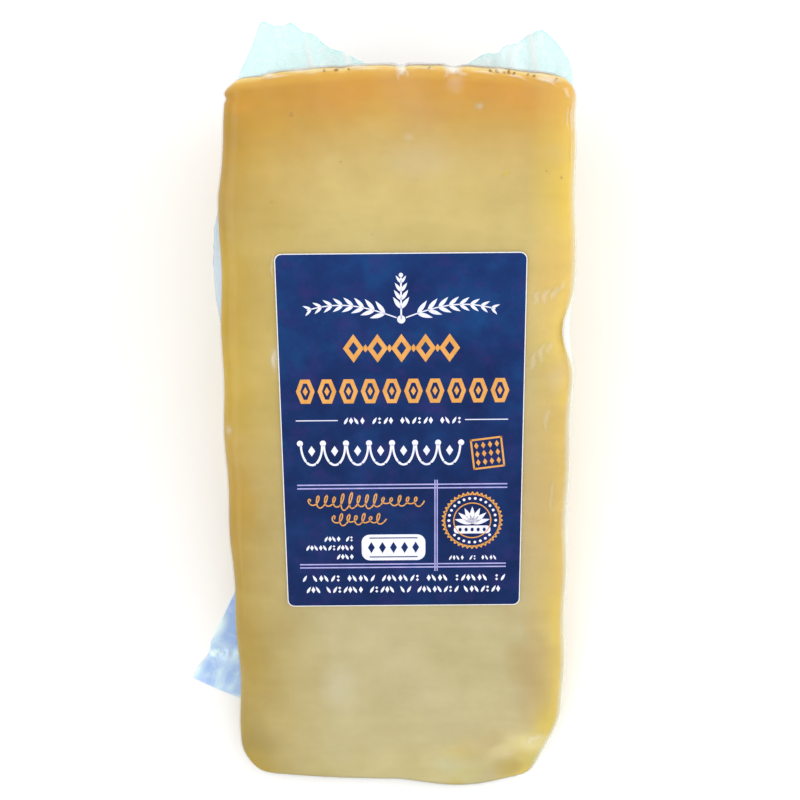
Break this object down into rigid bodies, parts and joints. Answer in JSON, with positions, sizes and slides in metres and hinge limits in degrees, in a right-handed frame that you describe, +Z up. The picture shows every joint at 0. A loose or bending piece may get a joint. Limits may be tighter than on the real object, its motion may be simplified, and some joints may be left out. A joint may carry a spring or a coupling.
{
  "type": "cheddar wedge",
  "caption": "Long wedge of clothbound cheddar, vacuum sealed in tight clear film with a printed paper label on its sloping cut face.",
  "frame": {"origin": "middle of the cut face that the wedge lies on, halfway between the thin end and the rind", "axes": "+Z up, +Y from the thin end to the rind, +X to the right as the label is read"},
  "size_m": [0.0861, 0.1693, 0.0441],
  "materials": {
    "pack": "pale yellow cheese under tight clear glossy film",
    "label": "smooth printed paper, dark blue"
  },
  "bodies": {
    "root": {"pack": "pack", "label": "label"}
  },
  "joints": []
}
